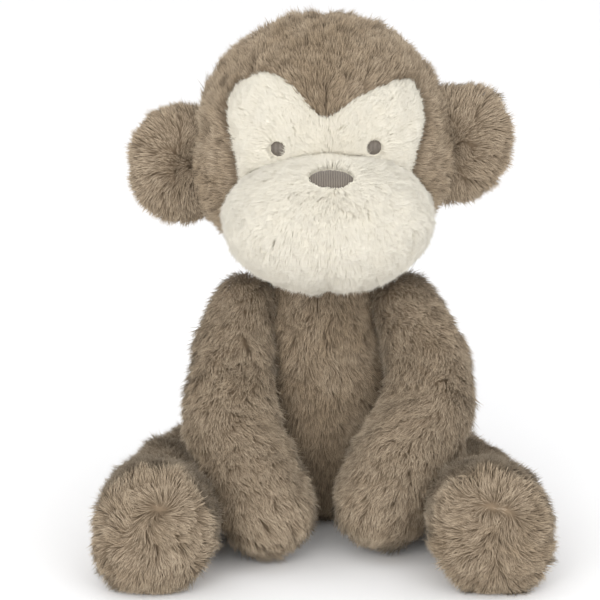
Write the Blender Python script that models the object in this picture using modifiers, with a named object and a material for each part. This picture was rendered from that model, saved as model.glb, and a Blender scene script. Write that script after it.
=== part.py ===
"""Seated stuffed monkey, sewn from pile fabric over loose filling.

Metres, +Z up, the monkey faces -Y and its left hand is at +X. The origin is
on the surface that it sits on, at the middle of the object's box.

Every sewn panel is its own open shell, cut from the body form that it belongs
to, and meets its neighbours along the seams. The fillings are inside. The
head turns on the neck seam, the arms swing at the shoulders and the legs at
the hips.
"""

import math

import bmesh
import bpy
from mathutils import Matrix, Vector

# ---------------------------------------------------------------- dimensions
MIDDLE = Vector((0.00025, 0.00282, 0.0))  # moves the design onto the box's middle

SKIN = 0.0026  # pile fabric: backing and the dense foot of the pile
SLACK = 0.0016  # between a skin and the filling inside it
SEAM = 0.0002  # half of the gap along a seam
FIT = 0.0004  # gap between forms that meet on a curved seam

HEAD_AT = Vector((0.0015, 0.030, 0.2025))
HEAD_HALF = Vector((0.0600, 0.0545, 0.0615))
HEAD_ROLL = math.radians(0.8)  # the head leans, its left side up
HEAD_CORONAL = 0.004  # seam plane from ear to ear, behind the head's middle
NECK_Z = 0.1450  # the neck seam lies in this plane
NECK_AXIS = Vector((0.0, 0.036, NECK_Z))

MUZZLE_AT = Vector((0.0006, -0.0460, -0.0312))  # from the head's middle
MUZZLE_HALF = Vector((0.0500, 0.0420, 0.0345))
MUZZLE_SOFT = 0.99
MASK_OUTLINE = (  # the upper face, from its right foot over the two lobes to its left foot
    (-0.0400, -0.0160),
    (-0.0440, 0.0050),
    (-0.0468, 0.0190),
    (-0.0452, 0.0275),
    (-0.0395, 0.0338),
    (-0.0275, 0.0385),
    (-0.0165, 0.0352),
    (-0.0085, 0.0268),
    (-0.0005, 0.0188),
    (0.0095, 0.0248),
    (0.0205, 0.0308),
    (0.0320, 0.0335),
    (0.0408, 0.0325),
    (0.0452, 0.0250),
    (0.0472, 0.0140),
    (0.0432, 0.0000),
    (0.0390, -0.0160),
)

EAR_LEFT = Vector((0.0685, 0.001, -0.0025))
EAR_RIGHT = Vector((-0.0742, 0.001, -0.0110))  # sewn on lower than the left one
EAR_HALF = Vector((0.0260, 0.0135, 0.0288))

EYE_AT = (0.0238, 0.0050)  # across and up, from the head's middle
EYE_RADIUS = 0.0037
NOSE_AT = (0.0021, -0.0735, -0.0050)
NOSE_HALF = (0.0108, 0.0064)
NOSE_UP = math.radians(52)
STITCH = 0.0009  # height of the embroidery

TORSO_RINGS = (  # height, half width, half depth, middle's Y
    (0.0000, 0.0285, 0.0270, 0.0500),
    (0.0030, 0.0355, 0.0345, 0.0500),
    (0.0110, 0.0415, 0.0415, 0.0500),
    (0.0260, 0.0440, 0.0455, 0.0495),
    (0.0450, 0.0442, 0.0465, 0.0485),
    (0.0650, 0.0430, 0.0455, 0.0465),
    (0.0850, 0.0395, 0.0425, 0.0435),
    (0.1030, 0.0345, 0.0375, 0.0405),
    (0.1180, 0.0285, 0.0310, 0.0380),
    (0.1290, 0.0250, 0.0270, 0.0365),
    (0.1390, 0.0228, 0.0245, 0.0360),
    (0.1446, 0.0205, 0.0215, 0.0360),
)
TORSO_CORONAL = 0.0440  # side seams
SEAT_Z = 0.0110  # seam round the seat panel
BEANS_Z = 0.0330  # top of the pellet pouch

SHOULDER_RADIUS = 0.0127
ARM_RIGHT = ((-0.0400, 0.0220, 0.1180), (-0.0458, 0.0040, 0.0935), (-0.0470, -0.0170, 0.0670), (-0.0375, -0.0350, 0.0440), (-0.0290, -0.0455, 0.0285))
ARM_LEFT = ((0.0418, 0.0220, 0.1180), (0.0530, 0.0060, 0.0950), (0.0530, -0.0135, 0.0695), (0.0392, -0.0295, 0.0465), (0.0310, -0.0360, 0.0290))
ARM_WIDTHS = (SHOULDER_RADIUS, 0.0170, 0.0200, 0.0215, 0.0205)
ARM_DEPTHS = (SHOULDER_RADIUS, 0.0155, 0.0175, 0.0180, 0.0175)
ARM_TIP = 0.0200

HIP_RADIUS = 0.0180
LEG_RIGHT = ((-0.0645, 0.0420, 0.0235), (-0.0755, 0.0030, 0.0232), (-0.0800, -0.0370, 0.0245), (-0.0815, -0.0670, 0.0280), (-0.0820, -0.0850, 0.0297))
LEG_LEFT = ((0.0645, 0.0420, 0.0235), (0.0755, 0.0030, 0.0232), (0.0800, -0.0360, 0.0245), (0.0812, -0.0660, 0.0280), (0.0815, -0.0850, 0.0297))
LEG_WIDTHS = (HIP_RADIUS, 0.0210, 0.0228, 0.0256, 0.0264)
LEG_HEIGHTS = (HIP_RADIUS, 0.0213, 0.0236, 0.0277, 0.0294)
SOLE_BULGE = 0.0150  # from the widest ring of the foot to the front of the sole
SOLE_SEAM = 0.0095  # the sole's seam is this far in front of that ring

# ------------------------------------------------------------------ scene set
for old in list(bpy.data.objects):
    bpy.data.objects.remove(old, do_unlink=True)

parts = bpy.data.collections.new("stuffed_monkey")
cutters = bpy.data.collections.new("cutters")
bpy.context.scene.collection.children.link(parts)
bpy.context.scene.collection.children.link(cutters)


def material(name, colour, roughness):
    m = bpy.data.materials.new(name)
    m.use_nodes = True
    shader = m.node_tree.nodes["Principled BSDF"]
    shader.inputs["Base Color"].default_value = (*colour, 1.0)
    shader.inputs["Roughness"].default_value = roughness
    shader.inputs["Metallic"].default_value = 0.0
    m.diffuse_color = (*colour, 1.0)
    return m


BROWN = (0.290, 0.220, 0.150)
CREAM = (0.840, 0.790, 0.660)
THREAD = (0.150, 0.125, 0.105)
FIBRE = (0.860, 0.860, 0.840)
POUCH = (0.700, 0.690, 0.650)


def make(name, mesh, origin, colour=None):
    """An object on its origin. With a colour it is a part, and without one a cutter."""
    o = bpy.data.objects.new(name, mesh)
    o.location = origin
    if colour is None:
        cutters.objects.link(o)
        o.hide_render = True
        o.display_type = "WIRE"
    else:
        parts.objects.link(o)
        mesh.materials.clear()
        mesh.materials.append(material(name, colour, 0.92))
    return o


# -------------------------------------------------------------------- forms
def round_form(name, segments, rings, place, origin):
    """A mesh from a sphere whose every point is moved by place(ring, angle). No column of points lies in a middle plane, where the seams are."""
    bm = bmesh.new()
    bmesh.ops.create_uvsphere(bm, u_segments=segments, v_segments=rings, radius=1.0)
    for v in bm.verts:
        ring = round(math.acos(max(-1.0, min(1.0, v.co.z))) / math.pi * rings)
        angle = math.atan2(v.co.y, v.co.x) + math.pi / segments if 0 < ring < rings else 0.0
        v.co = place(ring, angle) + MIDDLE - origin
    if bm.calc_volume(signed=True) < 0:
        bmesh.ops.reverse_faces(bm, faces=bm.faces)
    mesh = bpy.data.meshes.new(name)
    bm.to_mesh(mesh)
    bm.free()
    for p in mesh.polygons:
        p.use_smooth = True
    return mesh


def power(value, exponent):
    return math.copysign(abs(value) ** exponent, value)


TILT = Matrix.Rotation(-HEAD_ROLL, 3, "Y")


def on_head(local):
    return HEAD_AT + TILT @ Vector(local)


def skull(rings):
    """The skull: round, a little fuller in the cheeks and most in the right one, flat on the neck seam."""

    def place(ring, angle):
        up = math.pi * ring / rings
        z = math.cos(up)
        across = math.sin(up)
        full = 1.0 + 0.05 * math.exp(-(((z + 0.35) / 0.35) ** 2))
        if math.cos(angle) < 0:
            full += 0.03 + 0.12 * math.exp(-(((z + 0.60) / 0.22) ** 2))
        p = on_head(
            (
                HEAD_HALF.x * across * math.cos(angle) * full,
                HEAD_HALF.y * across * math.sin(angle),
                HEAD_HALF.z * z,
            )
        )
        p.z = max(p.z, NECK_Z + 0.0002)
        return p

    return place


def boxy(middle, half, rings, soft):
    """A rounded form on the head, from 1.0, an ellipsoid, towards a box as soft falls."""

    def place(ring, angle):
        up = math.pi * ring / rings
        across = power(math.sin(up), soft)
        return on_head(
            (
                middle.x + half.x * across * power(math.cos(angle), soft),
                middle.y + half.y * across * power(math.sin(angle), soft),
                middle.z + half.z * power(math.cos(up), soft),
            )
        )

    return place


def spline(points, t):
    """A point on the smooth curve through points, t from 0 to the last one's number."""
    last = len(points) - 1
    i = min(int(t), last - 1)
    f = t - i
    p = [Vector(points[max(0, min(last, i + k))]) for k in (-1, 0, 1, 2)]
    return 0.5 * (
        2 * p[1]
        + (p[2] - p[0]) * f
        + (2 * p[0] - 5 * p[1] + 4 * p[2] - p[3]) * f * f
        + (3 * p[1] - 3 * p[2] + p[3] - p[0]) * f**3
    )


def even(values, t):
    i = min(int(t), len(values) - 2)
    return values[i] + (values[i + 1] - values[i]) * (t - i)


def limb(path, widths, heights, root, tip, blunt, steps=6):
    """A limb along path, a ball of radius root round its first point, and an end that goes tip past its last one."""
    last = len(path) - 1
    stations = [(-math.cos(a), 0.0, math.sin(a)) for a in (0.0, math.radians(42))]
    stations += [(0.0, last * k / steps, 1.0) for k in range(steps + 1)]
    stations += [(math.sin(a), last, math.cos(a) ** blunt) for a in (math.radians(34), math.radians(60), math.radians(90))]
    rings = len(stations) - 1

    def place(ring, angle):
        beyond, t, share = stations[ring]
        if ring == rings:
            share = 0.0
        ahead = (spline(path, min(t + 0.05, last)) - spline(path, max(t - 0.05, 0.0))).normalized()
        side = (Vector((1, 0, 0)) - ahead * ahead.x).normalized()
        over = ahead.cross(side)
        p = spline(path, t) + ahead * beyond * (root if beyond < 0 else tip)
        p += side * math.cos(angle) * even(widths, t) * share
        p += over * math.sin(angle) * even(heights, t) * share
        p.z = max(p.z, 0.0)
        return p

    return rings, place


def torso(ring, angle):
    last = len(TORSO_RINGS) + 1
    height, wide, deep, y = TORSO_RINGS[max(0, min(len(TORSO_RINGS) - 1, last - ring - 1))]
    if ring in (0, last):
        wide = deep = 0.0
    return Vector((wide * math.cos(angle), y + deep * math.sin(angle), height))


# ------------------------------------------------------------------ modifiers
def skin(o, thickness=SKIN, outwards=False):
    m = o.modifiers.new("skin", "SOLIDIFY")
    m.thickness = thickness
    m.offset = 1.0 if outwards else -1.0
    m.use_rim = True


def grow(o, by):
    m = o.modifiers.new("grow", "DISPLACE")
    m.direction = "NORMAL"
    m.mid_level = 0.0
    m.strength = by


def cut(o, cutter, how="DIFFERENCE", solver="EXACT"):
    m = o.modifiers.new(cutter.name, "BOOLEAN")
    m.operation = how
    m.solver = solver
    m.object = cutter


FAR = 0.35


def side_of(name, point, normal):
    """A big box on one side of the plane through point, the side that normal points to."""
    bm = bmesh.new()
    bmesh.ops.create_cube(bm, size=FAR)
    for v in bm.verts:
        v.co.z += FAR / 2
    mesh = bpy.data.meshes.new(name)
    bm.to_mesh(mesh)
    bm.free()
    o = make(name, mesh, Vector(point) + MIDDLE)
    o.rotation_mode = "QUATERNION"
    o.rotation_quaternion = Vector(normal).to_track_quat("Z", "Y")
    return o


def both_sides(name, point, normal):
    """The boxes before and behind a seam plane, with the seam's gap between them."""
    n = Vector(normal).normalized()
    p = Vector(point)
    return side_of(name + "_front", p + n * SEAM, n), side_of(name + "_rear", p - n * SEAM, -n)


def form_cutter(name, mesh, origin, by):
    o = make(name, mesh, origin)
    if by:
        grow(o, by)
    return o


def panel(name, mesh, origin, colour, keep=(), drop=(), solver="EXACT"):
    """A sewn panel: the part of a form's skin inside every one of keep and outside drop. The exact solver loses the face's panels where two curved cuts meet, so they take the manifold one."""
    o = make(name, mesh.copy(), origin, colour)
    skin(o)
    for c in keep:
        cut(o, c, "INTERSECT", solver)
    for c in drop:
        cut(o, c, "DIFFERENCE", solver)
    return o


def filling(name, mesh, origin, colour, keep=(), drop=(), slack=SLACK):
    o = make(name, mesh.copy(), origin, colour)
    grow(o, -(SKIN + slack))
    for c in keep:
        cut(o, c, "INTERSECT")
    for c in drop:
        cut(o, c)
    return o


# --------------------------------------------------------------------- torso
torso_origin = MIDDLE.copy()
torso_form = round_form("torso_form", 18, len(TORSO_RINGS) + 1, torso, torso_origin)
left, right = both_sides("torso_middle", (0, 0, 0.07), (1, 0, 0))
rear, front = both_sides("torso_sides", (0, TORSO_CORONAL, 0.07), (0, 1, 0))
above, below = both_sides("seat_seam", (0, 0.05, SEAT_Z), (0, 0, 1))
panel("chest_panel_left", torso_form, torso_origin, BROWN, keep=(left, front, above))
panel("chest_panel_right", torso_form, torso_origin, BROWN, keep=(right, front, above))
panel("back_panel_left", torso_form, torso_origin, BROWN, keep=(left, rear, above))
panel("back_panel_right", torso_form, torso_origin, BROWN, keep=(right, rear, above))
panel("seat_panel", torso_form, torso_origin, BROWN, keep=(below,))
upper, lower = both_sides("pouch_top", (0, 0.05, BEANS_Z), (0, 0, 1))
torso_core = round_form("torso_core", 12, len(TORSO_RINGS) + 1, torso, torso_origin)
filling("torso_filling", torso_core, torso_origin, FIBRE, keep=(upper,))
filling("seat_pellet_pouch", torso_core, torso_origin, POUCH, keep=(lower,))

# ---------------------------------------------------------------------- head
neck = NECK_AXIS + MIDDLE
head_form = round_form("head_form", 20, 12, skull(12), neck)
muzzle_form = round_form("muzzle_form", 18, 10, boxy(MUZZLE_AT, MUZZLE_HALF, 10, MUZZLE_SOFT), neck)
head_cutter = form_cutter("head_cutter", head_form, neck, FIT)
muzzle_cutter = form_cutter("muzzle_cutter", muzzle_form, neck, FIT)


def mask_prism(name, extra):
    """The outline of the upper face, two lobes with a peak between them, widened by extra and drawn straight through the front of the head."""
    last = len(MASK_OUTLINE) - 1
    points = [(x, z, 0.0) for x, z in MASK_OUTLINE]
    outline = []
    for k in range(2 * last + 1):
        here = spline(points, k / 2)
        ahead = (spline(points, min(k / 2 + 0.2, last)) - spline(points, max(k / 2 - 0.2, 0.0))).normalized()
        outline.append((here.x - ahead.y * extra, here.y + ahead.x * extra))
    bm = bmesh.new()
    face = bm.faces.new([bm.verts.new(on_head((x, -0.09, z)) + MIDDLE - neck) for x, z in outline])
    grown = bmesh.ops.extrude_face_region(bm, geom=[face])["geom"]
    through = TILT @ Vector((0, 0.088, 0))
    for v in grown:
        if isinstance(v, bmesh.types.BMVert):
            v.co += through
    bmesh.ops.recalc_face_normals(bm, faces=bm.faces)
    mesh = bpy.data.meshes.new(name)
    bm.to_mesh(mesh)
    bm.free()
    return make(name, mesh, neck)


mask_inside = mask_prism("mask_inside", 0.0)
mask_outside = mask_prism("mask_outside", 2 * SEAM)
head_left, head_right = both_sides("head_middle", on_head((0, 0, 0)), TILT @ Vector((1, 0, 0)))
head_rear, head_front = both_sides("head_sides", on_head((0, HEAD_CORONAL, 0)), TILT @ Vector((0, 1, 0)))
panel("crown_panel_left", head_form, neck, BROWN, keep=(head_left, head_front), drop=(muzzle_cutter, mask_outside), solver="MANIFOLD")
panel("crown_panel_right", head_form, neck, BROWN, keep=(head_right, head_front), drop=(muzzle_cutter, mask_outside), solver="MANIFOLD")
panel("head_back_panel_left", head_form, neck, BROWN, keep=(head_left, head_rear))
panel("head_back_panel_right", head_form, neck, BROWN, keep=(head_right, head_rear))
panel("face_mask_panel", head_form, neck, CREAM, keep=(mask_inside,), drop=(muzzle_cutter,), solver="MANIFOLD")
panel("muzzle_panel", muzzle_form, neck, CREAM, drop=(head_cutter,))

stuffing = filling("head_filling", round_form("head_core", 14, 9, skull(9), neck), neck, FIBRE)
muzzle_stuffing = form_cutter("muzzle_stuffing", round_form("muzzle_core", 12, 8, boxy(MUZZLE_AT, MUZZLE_HALF, 8, MUZZLE_SOFT), neck), neck, -(SKIN + SLACK))
cut(stuffing, muzzle_stuffing, "UNION")


def spot(name, middle, half, up, depth):
    """An oval rod through the skin, along which a piece of embroidery is cut."""
    bm = bmesh.new()
    bmesh.ops.create_cone(bm, cap_ends=True, segments=20, radius1=1.0, radius2=1.0, depth=depth)
    turn = Matrix.Rotation(math.pi / 2 - up, 3, "X")
    for v in bm.verts:
        v.co = on_head(Vector(middle) + turn @ Vector((v.co.x * half[0], v.co.y * half[1], v.co.z))) + MIDDLE - neck
    mesh = bpy.data.meshes.new(name)
    bm.to_mesh(mesh)
    bm.free()
    return make(name, mesh, neck)


def embroidery(name, form, rod):
    o = make(name, form.copy(), neck, THREAD)
    grow(o, FIT)
    skin(o, STITCH, outwards=True)
    cut(o, rod, "INTERSECT")
    return o


embroidery("nose_embroidery", muzzle_form, spot("nose_rod", NOSE_AT, NOSE_HALF, NOSE_UP, 0.020))
for word, sign in (("left", 1), ("right", -1)):
    rod = spot("eye_rod_" + word, (sign * EYE_AT[0], -0.050, EYE_AT[1]), (EYE_RADIUS, EYE_RADIUS), 0.0, 0.030)
    embroidery("eye_embroidery_" + word, head_form, rod)

# ---------------------------------------------------------------------- ears
for word, at in (("left", EAR_LEFT), ("right", EAR_RIGHT)):
    ear_form = round_form("ear_form_" + word, 12, 8, boxy(at, EAR_HALF, 8, 0.94), neck)
    ear_rear, ear_front = both_sides("ear_rim_" + word, on_head(at), TILT @ Vector((0, 1, 0)))
    panel("ear_front_panel_" + word, ear_form, neck, BROWN, keep=(ear_front,), drop=(head_cutter,))
    panel("ear_back_panel_" + word, ear_form, neck, BROWN, keep=(ear_rear,), drop=(head_cutter,))
    ear_core = round_form("ear_core_" + word, 10, 6, boxy(at, EAR_HALF, 6, 0.94), neck)
    filling("ear_wadding_" + word, ear_core, neck, FIBRE, drop=(head_cutter,))

# ---------------------------------------------------------------------- arms
for word, path in (("left", ARM_LEFT), ("right", ARM_RIGHT)):
    shoulder = Vector(path[0]) + MIDDLE
    rings, place = limb(path, ARM_WIDTHS, ARM_DEPTHS, SHOULDER_RADIUS, ARM_TIP, 0.8)
    arm_form = round_form("arm_form_" + word, 12, rings, place, shoulder)
    along = Vector(path[-1]) - Vector(path[0])
    across = along.cross(Vector((1, 0, 0)))
    rear, front = both_sides("arm_seam_" + word, (Vector(path[0]) + Vector(path[-1])) / 2, across)
    panel("arm_front_panel_" + word, arm_form, shoulder, BROWN, keep=(front,))
    panel("arm_back_panel_" + word, arm_form, shoulder, BROWN, keep=(rear,))
    rings, place = limb(path, ARM_WIDTHS, ARM_DEPTHS, SHOULDER_RADIUS, ARM_TIP, 0.8, steps=4)
    filling("arm_filling_" + word, round_form("arm_core_" + word, 8, rings, place, shoulder), shoulder, FIBRE)

# ---------------------------------------------------------------------- legs
for word, path in (("left", LEG_LEFT), ("right", LEG_RIGHT)):
    hip = Vector(path[0]) + MIDDLE
    rings, place = limb(path, LEG_WIDTHS, LEG_HEIGHTS, HIP_RADIUS, SOLE_BULGE, 0.55)
    leg_form = round_form("leg_form_" + word, 14, rings, place, hip)
    ahead = (Vector(path[-1]) - Vector(path[-2])).normalized()
    toe, heel = both_sides("sole_seam_" + word, Vector(path[-1]) + ahead * SOLE_SEAM, ahead)
    along = Vector(path[-1]) - Vector(path[0])
    over = Vector((1, 0, 0)).cross(along)
    under, top = both_sides("leg_seam_" + word, (Vector(path[0]) + Vector(path[-1])) / 2, over)
    panel("leg_upper_panel_" + word, leg_form, hip, BROWN, keep=(top, heel))
    panel("leg_under_panel_" + word, leg_form, hip, BROWN, keep=(under, heel))
    panel("foot_sole_" + word, leg_form, hip, BROWN, keep=(toe,))
    rings, place = limb(path, LEG_WIDTHS, LEG_HEIGHTS, HIP_RADIUS, SOLE_BULGE, 0.55, steps=4)
    filling("leg_filling_" + word, round_form("leg_core_" + word, 9, rings, place, hip), hip, FIBRE)
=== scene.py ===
"""Looks of the seated stuffed monkey: sewn skins puffed out by cloth simulation,
long brown pile and short cream pile as real strands, satin stitched eyes and
nose. Metres, in the CAD's frame. The monkey faces -Y, its left hand is at +X."""

import math

import bpy
import numpy as np
from mathutils import Matrix, Vector
from mathutils.bvhtree import BVHTree
from mathutils.kdtree import KDTree


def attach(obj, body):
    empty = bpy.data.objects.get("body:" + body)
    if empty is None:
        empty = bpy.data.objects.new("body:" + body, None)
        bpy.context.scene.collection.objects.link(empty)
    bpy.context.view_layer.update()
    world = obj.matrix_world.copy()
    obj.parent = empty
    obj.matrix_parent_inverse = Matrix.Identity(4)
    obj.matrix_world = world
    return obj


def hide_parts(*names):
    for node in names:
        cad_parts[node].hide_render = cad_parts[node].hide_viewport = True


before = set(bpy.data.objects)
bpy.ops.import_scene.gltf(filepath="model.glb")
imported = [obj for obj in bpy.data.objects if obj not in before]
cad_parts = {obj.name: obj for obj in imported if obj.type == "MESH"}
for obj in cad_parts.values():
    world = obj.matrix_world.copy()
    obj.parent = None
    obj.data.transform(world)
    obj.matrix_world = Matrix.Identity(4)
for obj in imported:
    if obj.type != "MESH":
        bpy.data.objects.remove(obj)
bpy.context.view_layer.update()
rng = np.random.default_rng(20)
scene = bpy.context.scene

# ----------------------------------------------------------- the CAD's sizes
MIDDLE = Vector((0.00025, 0.00282, 0.0))
HEAD_AT = Vector((0.0015, 0.030, 0.2025))
HEAD_HALF = Vector((0.0600, 0.0545, 0.0615))
HEAD_CORONAL = 0.004
NECK_Z = 0.1450
TILT = Matrix.Rotation(-math.radians(0.8), 3, "Y")
TILT_BACK = np.array(TILT.inverted())
MUZZLE_AT = Vector((0.0006, -0.0460, -0.0312))
MUZZLE_HALF = Vector((0.0500, 0.0420, 0.0345))
MUZZLE_SOFT = 0.99
MASK_OUTLINE = (
    (-0.0400, -0.0160),
    (-0.0440, 0.0050),
    (-0.0468, 0.0190),
    (-0.0452, 0.0275),
    (-0.0395, 0.0338),
    (-0.0275, 0.0385),
    (-0.0165, 0.0352),
    (-0.0085, 0.0268),
    (-0.0005, 0.0188),
    (0.0095, 0.0248),
    (0.0205, 0.0308),
    (0.0320, 0.0335),
    (0.0408, 0.0325),
    (0.0452, 0.0250),
    (0.0472, 0.0140),
    (0.0432, 0.0000),
    (0.0390, -0.0160),
)
EARS = {"left": Vector((0.0685, 0.001, -0.0025)), "right": Vector((-0.0742, 0.001, -0.0110))}
EAR_HALF = Vector((0.0260, 0.0135, 0.0288))
EAR_SOFT = 0.94
EYE_AT = (0.0238, 0.0050)
EYE_RADIUS = 0.0037
NOSE_AT = (0.0021, -0.0735, -0.0050)
NOSE_HALF = (0.0108, 0.0064)
NOSE_UP = math.radians(52)
TORSO_RINGS = (
    (0.0000, 0.0285, 0.0270, 0.0500),
    (0.0030, 0.0355, 0.0345, 0.0500),
    (0.0110, 0.0415, 0.0415, 0.0500),
    (0.0260, 0.0440, 0.0455, 0.0495),
    (0.0450, 0.0442, 0.0465, 0.0485),
    (0.0650, 0.0430, 0.0455, 0.0465),
    (0.0850, 0.0395, 0.0425, 0.0435),
    (0.1030, 0.0345, 0.0375, 0.0405),
    (0.1180, 0.0285, 0.0310, 0.0380),
    (0.1290, 0.0250, 0.0270, 0.0365),
    (0.1390, 0.0228, 0.0245, 0.0360),
    (0.1446, 0.0205, 0.0215, 0.0360),
)
TORSO_CORONAL = 0.0440
SEAT_Z = 0.0110
ARMS = {
    "right": ((-0.0400, 0.0220, 0.1180), (-0.0458, 0.0040, 0.0935), (-0.0470, -0.0170, 0.0670), (-0.0375, -0.0350, 0.0440), (-0.0290, -0.0455, 0.0285)),
    "left": ((0.0418, 0.0220, 0.1180), (0.0530, 0.0060, 0.0950), (0.0530, -0.0135, 0.0695), (0.0392, -0.0295, 0.0465), (0.0310, -0.0360, 0.0290)),
}
ARM_WIDTHS = (0.0127, 0.0170, 0.0200, 0.0215, 0.0205)
ARM_DEPTHS = (0.0127, 0.0155, 0.0175, 0.0180, 0.0175)
ARM_TIP = 0.0200
LEGS = {
    "right": ((-0.0645, 0.0420, 0.0235), (-0.0755, 0.0030, 0.0232), (-0.0800, -0.0370, 0.0245), (-0.0815, -0.0670, 0.0280), (-0.0820, -0.0850, 0.0297)),
    "left": ((0.0645, 0.0420, 0.0235), (0.0755, 0.0030, 0.0232), (0.0800, -0.0360, 0.0245), (0.0812, -0.0660, 0.0280), (0.0815, -0.0850, 0.0297)),
}
LEG_WIDTHS = (0.0180, 0.0210, 0.0228, 0.0256, 0.0264)
LEG_HEIGHTS = (0.0180, 0.0213, 0.0236, 0.0277, 0.0294)
SOLE_BULGE = 0.0150
SOLE_SEAM = 0.0095


# -------------------------------------------------------------------- forms
def power(value, exponent):
    return math.copysign(abs(value) ** exponent, value)


def on_head(local):
    return HEAD_AT + TILT @ Vector(local)


def spline(points, t):
    last = len(points) - 1
    i = min(int(t), last - 1)
    f = t - i
    p = [Vector(points[max(0, min(last, i + k))]) for k in (-1, 0, 1, 2)]
    return 0.5 * (2 * p[1] + (p[2] - p[0]) * f + (2 * p[0] - 5 * p[1] + 4 * p[2] - p[3]) * f * f + (3 * p[1] - 3 * p[2] + p[3] - p[0]) * f**3)


def even(values, t):
    i = min(int(t), len(values) - 2)
    return values[i] + (values[i + 1] - values[i]) * (t - i)


def skull(share, angle):
    up = math.pi * share
    z, across = math.cos(up), math.sin(up)
    full = 1.0 + 0.05 * math.exp(-(((z + 0.35) / 0.35) ** 2))
    if math.cos(angle) < 0:
        full += 0.03 + 0.12 * math.exp(-(((z + 0.60) / 0.22) ** 2))
    p = on_head((HEAD_HALF.x * across * math.cos(angle) * full, HEAD_HALF.y * across * math.sin(angle), HEAD_HALF.z * z))
    p.z = max(p.z, NECK_Z + 0.0002)
    return p


def boxy(middle, half, soft):
    def place(share, angle):
        up = math.pi * share
        across = power(math.sin(up), soft)
        return on_head(
            (
                middle.x + half.x * across * power(math.cos(angle), soft),
                middle.y + half.y * across * power(math.sin(angle), soft),
                middle.z + half.z * power(math.cos(up), soft),
            )
        )

    return place


def dimpled(at):
    """An ear: its front is drawn in towards the head round one stitch."""
    base = boxy(at, EAR_HALF, EAR_SOFT)
    side = math.copysign(1.0, at.x)

    def place(share, angle):
        p = base(share, angle)
        local = TILT.inverted() @ (p - HEAD_AT)
        if local.y < at.y:
            off = math.hypot(local.x - (at.x - side * 0.0045), (local.z - at.z + 0.001) * 0.8)
            p = p + TILT @ Vector((0, 0.0085 * math.exp(-((off / 0.0085) ** 2)), 0))
        p.x += side * (0.0016 if side > 0 else 0.0) * (local.z - at.z) / EAR_HALF.z * 1.6
        return p

    return place


def torso(share, angle):
    last = len(TORSO_RINGS) - 1
    t = share * (last + 2) - 1.0
    r = [(w, d, 0.0) for _, w, d, _ in TORSO_RINGS]
    h = [(z, y, 0.0) for z, _, _, y in TORSO_RINGS]
    tc = max(0.0, min(last, t))
    wide, deep, _ = spline(r, tc)
    z, y, _ = spline(h, tc)
    cap = 1.0 - max(0.0, -t, t - last)
    return Vector((wide * cap * math.cos(angle), y + deep * cap * math.sin(angle), max(0.0, z)))


def limb(path, widths, heights, root, tip, blunt):
    last = len(path) - 1
    lengths = [0.18, 0.62, 0.20]

    def place(share, angle):
        if share < lengths[0]:
            a = (1 - share / lengths[0]) * math.pi / 2
            beyond, t, part = -math.sin(a), 0.0, math.cos(a)
        elif share < lengths[0] + lengths[1]:
            beyond, t, part = 0.0, last * (share - lengths[0]) / lengths[1], 1.0
        else:
            a = (share - lengths[0] - lengths[1]) / lengths[2] * math.pi / 2
            beyond, t, part = math.sin(a), last, max(0.0, math.cos(a)) ** blunt
        ahead = (spline(path, min(t + 0.05, last)) - spline(path, max(t - 0.05, 0.0))).normalized()
        side = (Vector((1, 0, 0)) - ahead * ahead.x).normalized()
        over = ahead.cross(side)
        p = spline(path, t) + ahead * beyond * (root if beyond < 0 else tip)
        p += side * math.cos(angle) * even(widths, t) * part
        p += over * math.sin(angle) * even(heights, t) * part
        if blunt < 0.6:  # a foot is fuller low on its outer side, and its toe rolls up
            low = max(0.0, 1 - p.z / 0.030) * min(1.0, max(0.0, t / last * 2 - 1))
            p.x += math.copysign(0.0050, path[0][0]) * low
            p.z += 0.0035 * max(0.0, beyond) * max(0.0, 1 - p.z / 0.025)
        p.z = max(p.z, 0.0)
        return p

    return place


def round_mesh(name, rows, cols, place):
    verts = [place(0.0, 0.0)]
    for i in range(1, rows):
        verts += [place(i / rows, 2 * math.pi * (j + 0.5) / cols) for j in range(cols)]
    verts.append(place(1.0, 0.0))
    last = len(verts) - 1
    at = lambda i, j: 1 + (i - 1) * cols + j % cols
    faces = [(0, at(1, j), at(1, j + 1)) for j in range(cols)]
    faces += [(at(i, j), at(i + 1, j), at(i + 1, j + 1), at(i, j + 1)) for i in range(1, rows - 1) for j in range(cols)]
    faces += [(last, at(rows - 1, j + 1), at(rows - 1, j)) for j in range(cols)]
    mesh = bpy.data.meshes.new(name)
    mesh.from_pydata([v + MIDDLE for v in verts], [], faces)
    return mesh


def coords(mesh):
    co = np.empty(len(mesh.vertices) * 3, np.float32)
    mesh.vertices.foreach_get("co", co)
    return co.reshape(-1, 3).astype(float)


def put(mesh, co):
    mesh.vertices.foreach_set("co", co.astype(np.float32).ravel())
    mesh.update()


def baked(o):
    """The object's mesh with its modifiers in it."""
    bpy.context.view_layer.update()
    mesh = bpy.data.meshes.new_from_object(o.evaluated_get(bpy.context.evaluated_depsgraph_get()))
    old = o.data
    o.modifiers.clear()
    o.data = mesh
    bpy.data.meshes.remove(old)
    return mesh


# ----------------------------------------------- where the seams and panels lie
M = np.array(MIDDLE)


def local_head(p):
    return (p - M - np.array(HEAD_AT)) @ TILT_BACK.T


def mask_points():
    points = [(x, z, 0.0) for x, z in MASK_OUTLINE]
    return np.array([spline(points, k / 6)[:2] for k in range(6 * (len(points) - 1) + 1)])


MASK_LINE = mask_points()


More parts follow.
